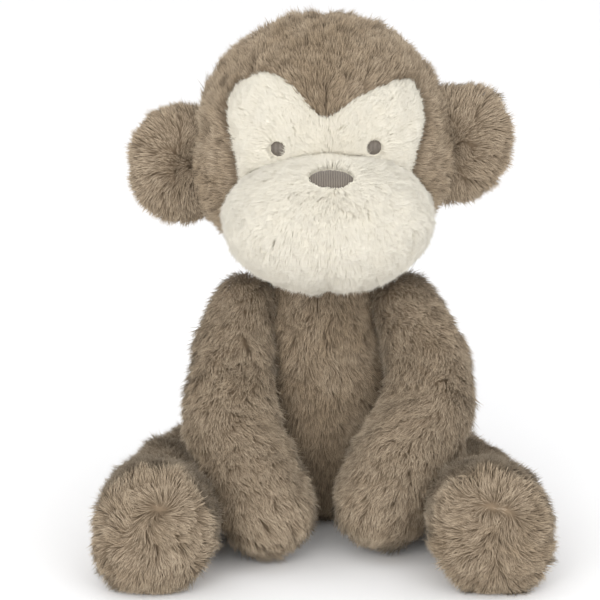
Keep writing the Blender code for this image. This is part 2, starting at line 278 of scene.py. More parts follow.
def mask_edge(q):
    """How far a point of the head is outside the upper face's outline, in metres; inside is below 0."""
    line = np.concatenate([MASK_LINE, MASK_LINE[:1]])
    x, z = q[:, 0], q[:, 2]
    near = np.full(len(q), 1.0)
    inside = np.zeros(len(q), bool)
    for k in range(len(line) - 1):
        (ax, az), (bx, bz) = line[k], line[k + 1]
        dx, dz = bx - ax, bz - az
        t = np.clip(((x - ax) * dx + (z - az) * dz) / (dx * dx + dz * dz), 0, 1)
        if k < len(line) - 2:  # the foot is inside the muzzle and isn't a seam
            near = np.minimum(near, np.hypot(x - ax - dx * t, z - az - dz * t))
        cross = (az > z) != (bz > z)
        if az != bz:
            inside ^= cross & (x < ax + (z - az) / (bz - az) * dx)
    out = np.where(inside, -near, near)
    return np.where(q[:, 1] > -0.004, 0.02, out)


def round_in(q, middle, half, soft):
    """Below 0 inside a rounded form on the head, about in metres."""
    f = sum((np.abs((q[:, k] - middle[k]) / half[k]) ** (2 / soft)) for k in range(3)) ** (soft / 2)
    return (f - 1) * min(half)


def skull_in(q):
    z = q[:, 2] / HEAD_HALF.z
    full = 1.0 + 0.05 * np.exp(-(((z + 0.35) / 0.35) ** 2))
    full = full + np.where(q[:, 0] < 0, 0.03 + 0.12 * np.exp(-(((z + 0.60) / 0.22) ** 2)), 0)
    f = np.sqrt((q[:, 0] / (HEAD_HALF.x * full)) ** 2 + (q[:, 1] / HEAD_HALF.y) ** 2 + z**2)
    return (f - 1) * 0.055


def limb_planes(path, sole):
    a, b = Vector(path[0]), Vector(path[-1])
    along = b - a
    if sole:
        over = Vector((1, 0, 0)).cross(along).normalized()
        ahead = (Vector(path[-1]) - Vector(path[-2])).normalized()
        return (a + b) / 2, over, b + ahead * SOLE_SEAM, ahead
    return (a + b) / 2, along.cross(Vector((1, 0, 0))).normalized(), None, None


def plane(p, point, normal):
    return (p - M - np.array(point)) @ np.array(normal)


def torso_panels(p):
    q = p - M
    x, y, z = q.T
    name = np.where(y < TORSO_CORONAL, np.where(x > 0, 0, 1), np.where(x > 0, 2, 3))
    name = np.where(z < SEAT_Z, 4, name)
    seam = np.minimum(np.abs(x), np.abs(y - TORSO_CORONAL))
    seam = np.where(z < SEAT_Z, 1.0, seam)
    return name, np.minimum(seam, np.abs(z - SEAT_Z))


def skull_panels(p):
    q = local_head(p)
    edge = mask_edge(q)
    name = np.where(q[:, 1] < HEAD_CORONAL, np.where(q[:, 0] > 0, 0, 1), np.where(q[:, 0] > 0, 2, 3))
    seam = np.where(edge < 0, 1.0, np.minimum(np.abs(q[:, 0]), np.abs(q[:, 1] - HEAD_CORONAL)))
    name = np.where(edge < 0, 4, name)
    return name, np.minimum(seam, np.abs(edge))


def muzzle_panels(p):
    q = local_head(p)
    dart = np.where(q[:, 2] < MUZZLE_AT.z - 0.004, np.abs(q[:, 0] - MUZZLE_AT.x), 1.0)
    return np.zeros(len(p), int), dart


def ear_panels(word):
    def panels(p):
        y = local_head(p)[:, 1] - EARS[word].y
        return np.where(y < 0, 0, 1), np.abs(y)

    return panels


def arm_panels(word):
    point, normal, _, _ = limb_planes(ARMS[word], False)

    def panels(p):
        d = plane(p, point, normal)
        return np.where(d > 0, 0, 1), np.abs(d)

    return panels


def leg_panels(word):
    point, over, toe, ahead = limb_planes(LEGS[word], True)

    def panels(p):
        d, s = plane(p, point, over), plane(p, toe, ahead)
        name = np.where(s > 0, 2, np.where(d > 0, 1, 0))
        return name, np.where(s > 0, np.abs(s), np.minimum(np.abs(d), np.abs(s)))

    return panels


FORMS = [  # name, body, rows, columns, place, panels, the nodes each panel stands for
    ("torso", "torso", 56, 72, torso, torso_panels, ["chest_panel_left", "chest_panel_right", "back_panel_left", "back_panel_right", "seat_panel"]),
    ("skull", "head", 56, 80, skull, skull_panels, ["crown_panel_left", "crown_panel_right", "head_back_panel_left", "head_back_panel_right", "face_mask_panel"]),
    ("muzzle", "head", 44, 64, boxy(MUZZLE_AT, MUZZLE_HALF, MUZZLE_SOFT), muzzle_panels, ["muzzle_panel"]),
]
for word in ("left", "right"):
    FORMS.append(("ear_" + word, "head", 36, 48, dimpled(EARS[word]), ear_panels(word), ["ear_front_panel_" + word, "ear_back_panel_" + word]))
    FORMS.append(("arm_" + word, word + "_arm", 60, 44, limb(ARMS[word], ARM_WIDTHS, ARM_DEPTHS, 0.0127, ARM_TIP, 0.8), arm_panels(word), ["arm_front_panel_" + word, "arm_back_panel_" + word]))
    FORMS.append(("leg_" + word, word + "_leg", 64, 52, limb(LEGS[word], LEG_WIDTHS, LEG_HEIGHTS, 0.0180, SOLE_BULGE, 0.55), leg_panels(word), ["leg_upper_panel_" + word, "leg_under_panel_" + word, "foot_sole_" + word]))

# --------------------------------------------------- the skins, puffed by cloth
START_IN = {"arm": 0.0013, "leg": 0.0014, "torso": 0.0016, "muzzle": 0.0020, "skull": 0.0016, "ear": 0.0020}  # the skins start this much inside, because they swell
CAP = 0.0024  # and move no further than this
skins = []
for name, body, rows, cols, place, panels, nodes in FORMS:
    o = bpy.data.objects.new(name, round_mesh(name, rows, cols, place))
    scene.collection.objects.link(o)
    m = o.modifiers.new("even", "REMESH")
    m.mode = "VOXEL"
    m.voxel_size = 0.0026 if name.startswith(("ear", "muzzle")) else 0.0034
    mesh = baked(o)
    co = coords(mesh)
    normal = np.empty(len(co) * 3, np.float32)
    mesh.vertex_normals.foreach_get("vector", normal)
    put(mesh, co - normal.reshape(-1, 3) * START_IN[name.split("_")[0]])
    skins.append((o, panels))

start = {}
for o, panels in skins:
    co = coords(o.data)
    start[o.name] = co
    _, seam = panels(co)
    held = seam < 0.0026
    held |= co[:, 2] < 0.0015
    group = o.vertex_groups.new(name="pin")
    group.add(np.nonzero(held)[0].tolist(), 1.0, "REPLACE")
    m = o.modifiers.new("cloth", "CLOTH")
    m.settings.quality = 4
    m.settings.mass = 0.2
    m.settings.tension_stiffness = 12
    m.settings.compression_stiffness = 12
    m.settings.shear_stiffness = 4
    m.settings.bending_stiffness = 0.4
    m.settings.shrink_min = -0.035
    m.settings.shrink_max = -0.035
    m.settings.use_pressure = True
    m.settings.uniform_pressure_force = 4.0
    m.settings.vertex_group_mass = "pin"
    m.settings.effector_weights.gravity = 0.0
    m.collision_settings.use_collision = False
    m.point_cache.frame_start = 1
    m.point_cache.frame_end = 20
for f in range(1, 19):
    scene.frame_set(f)
for o, panels in skins:
    mesh = baked(o)
    co, old = coords(mesh), start[o.name]
    move = co - old
    far = np.linalg.norm(move, axis=1, keepdims=True)
    put(mesh, old + move * np.minimum(1.0, CAP / np.maximum(far, 1e-9)))
scene.frame_set(1)

for o, panels in skins:
    m = o.modifiers.new("even", "SMOOTH")
    m.iterations = 2
    m.factor = 0.4
    m = o.modifiers.new("fine", "SUBSURF")
    m.levels = m.render_levels = 1
    mesh = baked(o)
    co = coords(mesh)
    normal = np.empty(len(co) * 3, np.float32)
    mesh.vertex_normals.foreach_get("vector", normal)
    _, seam = panels(co)
    groove = 0.0003 if o.name.startswith(("leg", "skull", "muzzle")) else 0.0006
    co -= normal.reshape(-1, 3) * (groove * np.exp(-((seam / 0.0018) ** 2)))[:, None]
    co[:, 2] = np.maximum(co[:, 2], 0.0006)
    put(mesh, co)


# ------------------------------------------------------------------ materials
def uv_pile(name, root, dark, light, tip_dark, tip_light, roughness, sheen, sheen_tint):
    """Pile whose colour goes from root to tip along v, from dark strands to light ones along u."""
    m = bpy.data.materials.new(name)
    m.use_nodes = True
    nodes, links = m.node_tree.nodes, m.node_tree.links
    shader = nodes["Principled BSDF"]
    uv = nodes.new("ShaderNodeUVMap")
    uv.uv_map = "OFBake"
    split = nodes.new("ShaderNodeSeparateXYZ")
    links.new(uv.outputs["UV"], split.inputs["Vector"])
    ramps = []
    for body, tip in ((dark, tip_dark), (light, tip_light)):
        ramp = nodes.new("ShaderNodeValToRGB")
        ramp.color_ramp.interpolation = "EASE"
        e = ramp.color_ramp.elements
        e[0].position, e[0].color = 0.02, (*root, 1)
        e[1].position, e[1].color = 0.55, (*body, 1)
        last = e.new(0.95)
        last.color = (*tip, 1)
        links.new(split.outputs["Y"], ramp.inputs["Fac"])
        ramps.append(ramp)
    mix = nodes.new("ShaderNodeMix")
    mix.data_type = "RGBA"
    links.new(split.outputs["X"], mix.inputs["Factor"])
    links.new(ramps[0].outputs["Color"], mix.inputs[6])
    links.new(ramps[1].outputs["Color"], mix.inputs[7])
    links.new(mix.outputs[2], shader.inputs["Base Color"])
    shader.inputs["Roughness"].default_value = roughness
    shader.inputs["Specular IOR Level"].default_value = 0.25
    shader.inputs["Sheen Weight"].default_value = sheen
    shader.inputs["Sheen Roughness"].default_value = 0.45
    shader.inputs["Sheen Tint"].default_value = (*sheen_tint, 1)
    return m


BROWN = uv_pile("brown_pile", (0.270, 0.200, 0.132), (0.190, 0.141, 0.092), (0.265, 0.203, 0.139), (0.462, 0.354, 0.236), (0.620, 0.506, 0.372), 0.75, 0.12, (0.95, 0.86, 0.72))
CREAM = uv_pile("cream_pile", (0.860, 0.805, 0.680), (0.815, 0.765, 0.645), (0.855, 0.810, 0.694), (0.842, 0.796, 0.680), (0.882, 0.842, 0.740), 0.80, 0.12, (1.0, 0.97, 0.88))


def thread_material():
    m = bpy.data.materials.new("grey_thread")
    m.use_nodes = True
    nodes, links = m.node_tree.nodes, m.node_tree.links
    shader = nodes["Principled BSDF"]
    uv = nodes.new("ShaderNodeUVMap")
    uv.uv_map = "OFBake"
    wave = nodes.new("ShaderNodeTexWave")
    wave.wave_type = "BANDS"
    wave.bands_direction = "X"
    wave.inputs["Scale"].default_value = 7.0
    wave.inputs["Distortion"].default_value = 1.5
    links.new(uv.outputs["UV"], wave.inputs["Vector"])
    ramp = nodes.new("ShaderNodeValToRGB")
    ramp.color_ramp.elements[0].color = (0.108, 0.090, 0.074, 1)
    ramp.color_ramp.elements[1].color = (0.212, 0.181, 0.149, 1)
    links.new(wave.outputs["Color"], ramp.inputs["Fac"])
    links.new(ramp.outputs["Color"], shader.inputs["Base Color"])
    bump = nodes.new("ShaderNodeBump")
    bump.inputs["Strength"].default_value = 0.4
    bump.inputs["Distance"].default_value = 0.0003
    links.new(wave.outputs["Color"], bump.inputs["Height"])
    links.new(bump.outputs["Normal"], shader.inputs["Normal"])
    shader.inputs["Roughness"].default_value = 0.48
    shader.inputs["Specular IOR Level"].default_value = 0.45
    shader.inputs["Sheen Weight"].default_value = 0.2
    return m


THREAD = thread_material()


def inner_material(name, low, high, scale):
    m = bpy.data.materials.new(name)
    m.use_nodes = True
    nodes, links = m.node_tree.nodes, m.node_tree.links
    shader = nodes["Principled BSDF"]
    place = nodes.new("ShaderNodeTexCoord")
    noise = nodes.new("ShaderNodeTexNoise")
    noise.inputs["Scale"].default_value = scale
    noise.inputs["Detail"].default_value = 6.0
    links.new(place.outputs["Object"], noise.inputs["Vector"])
    ramp = nodes.new("ShaderNodeValToRGB")
    ramp.color_ramp.elements[0].position, ramp.color_ramp.elements[1].position = 0.35, 0.65
    ramp.color_ramp.elements[0].color, ramp.color_ramp.elements[1].color = (*low, 1), (*high, 1)
    links.new(noise.outputs["Fac"], ramp.inputs["Fac"])
    links.new(ramp.outputs["Color"], shader.inputs["Base Color"])
    shader.inputs["Roughness"].default_value = 0.9
    return m


FIBRE = inner_material("fibre_filling", (0.72, 0.72, 0.70), (0.88, 0.88, 0.86), 220.0)
POUCH = inner_material("pouch_cloth", (0.60, 0.59, 0.55), (0.74, 0.73, 0.69), 900.0)


# ------------------------------------------------------------------- the pile
def waves(p, length, seed, channels=3):
    """Smooth noise in space, each channel within about -1 to 1, whose features are about length across."""
    r = np.random.default_rng(seed)
    total = np.zeros((len(p), channels))
    for _ in range(7):
        k = r.normal(size=(3, channels)) * (2 * math.pi / length) * 0.55
        total += np.sin(p @ k + r.uniform(0, 2 * math.pi, channels))
    return total / 2.6


def unit(v):
    return v / np.maximum(np.linalg.norm(v, axis=1, keepdims=True), 1e-9)


def triangles(mesh):
    mesh.calc_loop_triangles()
    tri = np.empty(len(mesh.loop_triangles) * 3, np.int32)
    mesh.loop_triangles.foreach_get("vertices", tri)
    return tri.reshape(-1, 3)


def scatter(co, normal, tri, density):
    """Points spread evenly over the triangles, with their normals. density is per square millimetre."""
    a, b, c = co[tri[:, 0]], co[tri[:, 1]], co[tri[:, 2]]
    area = np.linalg.norm(np.cross(b - a, c - a), axis=1) / 2
    n = int(area.sum() * 1e6 * density)
    if n < 1:
        return np.zeros((0, 3)), np.zeros((0, 3))
    total = np.cumsum(area)
    # stratified along the running area, so that no bald patch appears
    pick = np.searchsorted(total, (np.arange(n) + rng.random(n)) / n * total[-1])
    pick = np.minimum(pick, len(tri) - 1)
    r1, r2 = np.sqrt(rng.random(n)), rng.random(n)
    w = np.stack([1 - r1, r1 * (1 - r2), r1 * r2], 1)
    t = tri[pick]
    p = (co[t] * w[:, :, None]).sum(1)
    nn = unit((normal[t] * w[:, :, None]).sum(1))
    return p, nn


def nearest(points, centres):
    tree = KDTree(len(centres))
    for i, c in enumerate(centres):
        tree.insert(c, i)
    tree.balance()
    return np.array([tree.find(p)[1] for p in points])


def strands(p, n, comb, length, width, lean, tuft, tuft_pull, wild, tone_seed, seam, short=None, shade=0.0, calm=0.30):
    """Root, middle, tip, width and tone of a strand at each point, drawn together into tufts."""
    count = len(p)
    flow = comb(p) if callable(comb) else comb
    flow = flow + waves(p, 0.030, tone_seed + 1) * calm + waves(p, 0.011, tone_seed + 2) * calm * 0.4
    flow = unit(flow - n * (flow * n).sum(1, keepdims=True))
    # tufts: centres spread among the points
    k = max(1, int(count * tuft))
    centre = rng.choice(count, k, replace=False)
    which = nearest(p, p[centre])
    turn = rng.normal(size=k) * 0.22
    side = np.cross(n, flow)
    a = turn[which] + rng.normal(size=count) * wild
    flow = unit(flow * np.cos(a)[:, None] + side * np.sin(a)[:, None])
    lean_k = lean * (1 + rng.normal(size=k) * 0.10)
    th = np.clip(lean_k[which] + rng.normal(size=count) * 0.12, 0.15, 1.35)
    guard = rng.random(count) < 0.08  # these stand out of the tufts
    th = np.where(guard, th * 0.55, th)
    long = length * (1 + 0.10 * waves(p, 0.02, tone_seed + 3, 1)[:, 0]) * (1 + rng.normal(size=k) * 0.09)[which] * rng.uniform(0.72, 1.08, count)
    long = long * (1 - 0.12 * np.exp(-((seam / 0.0022) ** 2)))
    if short is not None:
        long = long * short
    th0 = th * 0.45
    mid = p + (n * np.cos(th0)[:, None] + flow * np.sin(th0)[:, None]) * (long * 0.5)[:, None]
    tip = mid + (n * np.cos(th * 1.35)[:, None] + flow * np.sin(th * 1.35)[:, None]) * (long * 0.5)[:, None]
    # draw the tips together
    base, reach = p[centre], tip[centre]
    target = reach[which] + (p - base[which]) * 0.30
    pull = (tuft_pull * rng.uniform(0.35, 1.0, count) * np.where(guard, 0.2, 1.0))[:, None]
    tip = tip + (target - tip) * pull
    mid = mid + (mid[centre][which] + (p - base[which]) * 0.62 - mid) * pull * 0.5
    # shade carries the tone shift per form, which includes the painted shade low on the torso
    tone = 0.66 + shade + 0.17 * waves(p, 0.035, tone_seed + 4, 1)[:, 0] + 0.13 * waves(p, 0.009, tone_seed + 5, 1)[:, 0] + (rng.normal(size=k) * 0.10)[which] + rng.normal(size=count) * 0.13
    root = p - n * 0.0007
    for v in (mid, tip):
        v[:, 2] = np.maximum(v[:, 2], 0.0005 + 0.0006 * rng.random(count))
    return root, mid, tip, width * rng.uniform(0.75, 1.15, count), np.clip(tone, 0.03, 0.97), n


def pile_mesh(name, skin_co, skin_faces, pile):
    """One mesh: the closed skin patch and the strands on it, each a closed three-sided spindle whose root is in the skin."""
    root, mid, tip, width, tone, face = pile
    n = len(root)
    d0 = unit(tip - root)
    ref = np.where(np.abs(d0[:, 2:3]) < 0.9, np.array([[0, 0, 1.0]]), np.array([[1.0, 0, 0]]))
    s = unit(np.cross(d0, ref))
    u = np.cross(s, d0)
    spin = rng.uniform(0, 2 * math.pi, n)
    ring = []
    for k in range(3):
        a = spin - k * 2 * math.pi / 3
        ring.append(mid + (s * np.cos(a)[:, None] + u * np.sin(a)[:, None]) * (width * 0.5)[:, None])
    verts = np.stack([root, *ring, tip], 1).reshape(-1, 3)
    base = len(skin_co)
    loops1 = np.array([0, 2, 1, 0, 3, 2, 0, 1, 3, 1, 2, 4, 2, 3, 4, 3, 1, 4])
    loops = (loops1[None, :] + (np.arange(n) * 5)[:, None] + base).ravel()
    du = np.array([0.0, -0.02, 0.0, 0.02, 0.0])
    dv = np.array([0.04, 0.5, 0.5, 0.5, 0.98])
    uv_u = (tone[:, None] + du[loops1][None, :]).ravel()
    uv_v = np.broadcast_to(dv[loops1][None, :], (n, len(loops1))).ravel()
    skin_loops = np.concatenate([np.array(f) for f in skin_faces])
    skin_sizes = np.array([len(f) for f in skin_faces])
    sx = 0.45 + 0.3 * np.sin(skin_co[:, 0] * 420 + skin_co[:, 2] * 170)
    sy = 0.06 + 0.05 * np.sin(skin_co[:, 1] * 390 + skin_co[:, 2] * 260)
    co = np.concatenate([skin_co, verts]).astype(np.float32)
    all_loops = np.concatenate([skin_loops, loops]).astype(np.int32)
    sizes = np.concatenate([skin_sizes, np.full(6 * n, 3)]).astype(np.int32)
    starts = (np.cumsum(sizes) - sizes).astype(np.int32)
    uv = np.empty((len(all_loops), 2), np.float32)
    uv[: len(skin_loops), 0], uv[: len(skin_loops), 1] = sx[skin_loops], sy[skin_loops]
    uv[len(skin_loops) :, 0], uv[len(skin_loops) :, 1] = uv_u, uv_v
    mesh = bpy.data.meshes.new(name)
    mesh.vertices.add(len(co))
    mesh.vertices.foreach_set("co", co.ravel())
    mesh.loops.add(len(all_loops))
    mesh.loops.foreach_set("vertex_index", all_loops)
    mesh.polygons.add(len(sizes))
    mesh.polygons.foreach_set("loop_start", starts)
    mesh.polygons.foreach_set("use_smooth", np.ones(len(sizes), bool))
    layer = mesh.uv_layers.new(name="OFBake")
    layer.data.foreach_set("uv", uv.ravel())
    mesh.update(calc_edges=True)
    # a strand is shaded mostly like the cloth under it, as fine pile is
    own = np.stack([face * 0, *[unit(r - mid) for r in ring], face * 0], 1)
    soft = unit((face[:, None, :] * 0.70 + own * 0.30).reshape(-1, 3))
    mesh.normals_split_custom_set_from_vertices(np.concatenate([np.zeros((base, 3)), soft]))
    return mesh


def shell(co, faces, thickness=0.0009):
    """A closed shell from a patch of faces: the patch, its inner copy and a rim. Returns points and faces."""
    used = np.unique(np.concatenate([np.array(f) for f in faces]))
    new = {int(v): i for i, v in enumerate(used)}
    outer = [tuple(new[v] for v in f) for f in faces]
    pts = co[used]
    norm = np.zeros_like(pts)
    for f in outer:
        a = np.cross(pts[f[1]] - pts[f[0]], pts[f[2]] - pts[f[0]])
        for v in f:
            norm[v] += a
    norm = unit(norm)
    n = len(pts)
    edges = {}
    for f in outer:
        for a, b in zip(f, f[1:] + f[:1]):
            edges[(a, b)] = True
    rim = [(b, a, a + n, b + n) for a, b in edges if (b, a) not in edges]
    inner = [tuple(v + n for v in reversed(f)) for f in outer]
    return np.concatenate([pts, pts - norm * thickness]), outer + inner + rim


HIDE = 0.0025  # a skin runs on this far inside the form that it meets


def away(centre, axes=(1.0, 1.0, 1.0)):
    """A flow that runs away from a point on the head."""
    c = np.array(centre)

    def comb(p):
        return unit((local_head(p) - c) * np.array(axes))

    return comb


def along_path(path, bias=(0, 0, 0)):
    samples = [spline(path, t) + MIDDLE for t in np.linspace(0, len(path) - 1, 40)]
    pts = np.array(samples)
    tang = unit(np.gradient(pts, axis=0))

    def comb(p):
        d = ((p[:, None, :] - pts[None, :, :]) ** 2).sum(2)
        return tang[d.argmin(1)] + np.array(bias)

    return comb


def whorl(word):
    """On a sole the pile turns out from the middle, with a slight swirl."""
    path = LEGS[word]
    _, _, toe, ahead = limb_planes(path, True)
    axis = np.array(ahead)
    centre = np.array(toe) + M + np.array((0.0, 0, 0.0005))
    turn = 1.0 if word == "left" else -1.0

    def comb(p):
        q = p - centre
        q = q - axis * (q @ axis)[:, None]
        r = np.linalg.norm(q, axis=1, keepdims=True)
        return unit(q) * (0.25 + r / 0.02) + np.cross(axis, unit(q)) * 0.25 * turn + np.array((0.1 * turn, 0, -0.45)) + waves(p, 0.016, 77) * 0.35

    return comb


def leg_flow(word):
    """Down the leg, and out over the foot's rim where the sole's pile meets it."""
    base = along_path(LEGS[word], (0, 0, -0.15))
    _, _, toe, ahead = limb_planes(LEGS[word], True)
    axis = np.array(ahead)
    centre = np.array(toe) + M

    def comb(p):
        q = p - centre
        s = q @ axis
        radial = unit(q - axis * s[:, None])
        w = np.clip(1 + s / 0.016, 0, 1)[:, None]
        return base(p) * (1 - w * 0.75) + (radial * 0.9 - axis * 0.45) * w

    return comb


def face_flow(p):
    """Crown: away from the face, over the top and down behind."""
    q = local_head(p)
    out = q * np.array((1.0, 0.0, 1.0)) - np.array((0, 0, -0.012))
    out = unit(out)
    part = np.exp(-((q[:, 0] / 0.016) ** 2)) * np.sign(q[:, 0])
    out = out + np.stack([part * 0.15, 0 * part, 0 * part], 1)
    back = np.clip((q[:, 1] + 0.005) / 0.03, 0, 1)[:, None]
    down = np.broadcast_to(np.array((0, 0.25, -1.0)), q.shape)
    front = out + np.array((0, 0.5, 0.0))
    return front * (1 - back) + (down + out * np.array((0.5, 0, 0))) * back


def mask_flow(p):
    q = local_head(p)
    v = q * np.array((1.0, 0, 1.0)) - np.array((0, 0, -0.006))
    v[:, 0] *= 1.1
    flow = unit(v)
    for sign in (-1, 1):  # the pile parts round each eye
        e = np.stack([q[:, 0] - sign * EYE_AT[0], np.zeros(len(q)), q[:, 2] - EYE_AT[1]], 1)
        r = np.linalg.norm(e, axis=1, keepdims=True)
        w = np.exp(-((r / 0.0065) ** 2)) * 1.1
        flow = flow * (1 - np.clip(w, 0, 1)) + unit(e) * w
    return flow


NOSE_OUT = np.array((0, -math.cos(NOSE_UP), math.sin(NOSE_UP)))
NOSE_ACROSS = np.array((0, math.sin(NOSE_UP), math.cos(NOSE_UP)))


def muzzle_flow(p):
    q = local_head(p)
    e = q - np.array(NOSE_AT)
    flat = e - NOSE_OUT * (e @ NOSE_OUT)[:, None]
    down = np.array((0, 0.0, -0.55))
    v = unit(e * np.array((1.0, 0.6, 1.0))) + down
    r = np.linalg.norm(flat / np.array((1.35, 1, 1)), axis=1, keepdims=True)
    w = np.clip(np.exp(-((r / 0.012) ** 2)) * 1.6, 0, 1)
    return v * (1 - w) + unit(flat) * w


def ear_flow(word):
    at = EARS[word]

    def comb(p):
        q = local_head(p) - np.array((at.x * 0.93, at.y, at.z))
        v = unit(q * np.array((1, 0.0, 1)))
        return v + np.array((0, 0.25, -0.12))

    return comb


def torso_flow(p):
    q = p - M
    out = np.stack([q[:, 0], (q[:, 1] - 0.045) * 0.6, np.zeros(len(q))], 1)
    low = np.clip((0.030 - q[:, 2]) / 0.03, 0, 1)[:, None]
    return np.array((0, -0.05, -1.0)) * (1 - low * 0.7) + unit(out) * (0.28 + low)


BROWN_LOOK = dict(length=0.0102, width=0.00038, lean=0.84, tuft=0.020, tuft_pull=0.24, wild=0.22)
CREAM_LOOK = dict(length=0.0066, width=0.00030, lean=0.98, tuft=0.012, tuft_pull=0.10, wild=0.20, calm=0.16)
STYLES = {  # per form: flow, look, strands per square millimetre
    "torso": (torso_flow, BROWN_LOOK, 2.9),
    "skull": (face_flow, BROWN_LOOK, 3.2),
    "muzzle": (muzzle_flow, CREAM_LOOK, 7.5),
    "ear_left": (ear_flow("left"), dict(BROWN_LOOK, length=0.0092), 2.7),
    "ear_right": (ear_flow("right"), dict(BROWN_LOOK, length=0.0092), 2.7),
    "arm_left": (along_path(ARMS["left"]), BROWN_LOOK, 3.0),
    "arm_right": (along_path(ARMS["right"]), BROWN_LOOK, 3.0),
    "leg_left": (leg_flow("left"), BROWN_LOOK, 2.7),
    "leg_right": (leg_flow("right"), BROWN_LOOK, 2.7),
}
PIECE_SLOT = {"face_mask_panel": "cream_pile", "muzzle_panel": "cream_pile"}
trees = {}


def tone_and_painted_shade(name, p):
    """Shift of the pile's tone per form: painted shade low on the torso between the arms and over its front, the crown
    darker along its middle and the skull a little darker all over, the legs a little lighter and the arms, ears and
    muzzle lighter.
    """
    if name == "skull":
        q = local_head(p)
        return -0.34 * np.exp(-((q[:, 0] / 0.017) ** 2)) * (q[:, 1] < 0.02) - 0.08
    if name == "torso":
        q = p - M
        # painted shade: the torso's pile is darker low between the arms and over its front, where shade falls
        return -0.50 * np.clip((0.090 - q[:, 2]) / 0.06, 0, 1) - 0.20 * (q[:, 1] < 0.05)
    if name.startswith("leg"):
        return 0.03
    return 0.20


def eye_gap(q):
    """Inside the eyes' outline this is below 0."""
    gaps = [np.hypot(q[:, 0] - s * EYE_AT[0], q[:, 2] - EYE_AT[1]) - (EYE_RADIUS - 0.0004) for s in (-1, 1)]
    return np.where(q[:, 1] < 0, np.minimum(*gaps), 1.0)


def nose_gap(q):
    e = q - np.array(NOSE_AT)
    across = e @ NOSE_ACROSS
    f = np.hypot(e[:, 0] / (NOSE_HALF[0] - 0.0005), across / (NOSE_HALF[1] - 0.0005))
    return np.where(e @ NOSE_OUT > -0.02, f - 1, 1.0)


for number, ((name, body, rows, cols, place, panels, nodes), (o, _)) in enumerate(zip(FORMS, skins)):
    mesh = o.data
    co = coords(mesh)
    normal = np.empty(len(co) * 3, np.float32)
    mesh.vertex_normals.foreach_get("vector", normal)
    normal = normal.reshape(-1, 3).astype(float)
    faces = [tuple(p.vertices) for p in mesh.polygons]
    trees[name] = BVHTree.FromPolygons([Vector(c) for c in co], faces)
    middle = np.array([co[list(f)].mean(0) for f in faces])
    which, _ = panels(middle)
    q = local_head(middle)
    if name == "skull":
        hidden = round_in(q, MUZZLE_AT, MUZZLE_HALF, MUZZLE_SOFT) < -HIDE
    elif name in ("muzzle", "ear_left", "ear_right"):
        hidden = skull_in(q) < -HIDE
    else:
        hidden = np.zeros(len(faces), bool)
    tri = triangles(mesh)
    tri_mid = co[tri].mean(1)
    tri_panel, _ = panels(tri_mid)
    flow, look, density = STYLES[name]
    for k, node in enumerate(nodes):
        cream = node in PIECE_SLOT
        mine = [f for f, w, h in zip(faces, which, hidden) if w == k and not h]
        skin_co, skin_faces = shell(co, mine)
        part = tri[tri_panel == k]
        style = dict(look)
        comb, thick = flow, density
        if node == "face_mask_panel":
            comb, style, thick = mask_flow, dict(CREAM_LOOK, length=0.0062), 7.0
        if node.startswith("foot_sole"):
            comb = whorl(node.rsplit("_", 1)[1])
            style = dict(style, lean=0.95, calm=0.55, length=0.0095)
        if node == "seat_panel":
            style = dict(style, length=0.0060)
        p, n = scatter(co, normal, part, thick)
        hq = local_head(p)
        keep = np.ones(len(p), bool)
        if name == "skull":
            keep &= round_in(hq, MUZZLE_AT, MUZZLE_HALF, MUZZLE_SOFT) > 0.0005
            for at in EARS.values():
                keep &= round_in(hq, at, EAR_HALF, EAR_SOFT) > 0.0
            keep &= ~((p[:, 2] < NECK_Z + 0.0012) & (np.hypot(p[:, 0] - M[0], p[:, 1] - M[1] - 0.036) < 0.024))
            keep &= eye_gap(hq) > 0
        elif name in ("muzzle", "ear_left", "ear_right"):
            keep &= skull_in(hq) > 0.0002
            if name == "muzzle":
                keep &= nose_gap(hq) > 0
        elif name == "torso":
            keep &= p[:, 2] < 0.1435
        keep &= p[:, 2] > 0.0009
        p, n = p[keep], n[keep]
        _, seam = panels(p)
        short = None
        if name == "muzzle":
            short = 0.55 + 0.45 * np.clip(skull_in(local_head(p)) / 0.010, 0, 1)
        pile = strands(p, n, comb, tone_seed=100 * number, seam=seam, short=short, shade=tone_and_painted_shade(name, p), **style)
        piece = bpy.data.objects.new(node + "_pile", pile_mesh(node, skin_co, skin_faces, pile))
        scene.collection.objects.link(piece)
        piece.data.materials.append(CREAM if cream else BROWN)
        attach(piece, body)
        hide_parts(node)
        if node.startswith("ear_front"):
            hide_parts(node.replace("front_panel", "wadding"))
    bpy.data.objects.remove(o, do_unlink=True)


# ----------------------------------------------------------------- embroidery
def tube(path, radii, sides=6):
    """Points and faces of a closed thread along path."""
    path = np.array(path)
    d = unit(np.gradient(path, axis=0))
    ref = np.array((1.0, 0, 0))
    s = unit(np.cross(d, ref))
    u = np.cross(s, d)
    verts = []
    for c, r, a, b in zip(path, radii, s, u):
        for k in range(sides):
            t = 2 * math.pi * k / sides
            verts.append(c + (a * math.cos(t) + b * math.sin(t)) * r)
    n = len(path)
    faces = []
    for i in range(n - 1):
        for k in range(sides):
            j = (k + 1) % sides
            faces.append((i * sides + k, (i + 1) * sides + k, (i + 1) * sides + j, i * sides + j)[::-1])
    faces.append(tuple(range(sides))[::-1][::-1])
    faces.append(tuple((n - 1) * sides + k for k in range(sides))[::-1])
    return verts, faces


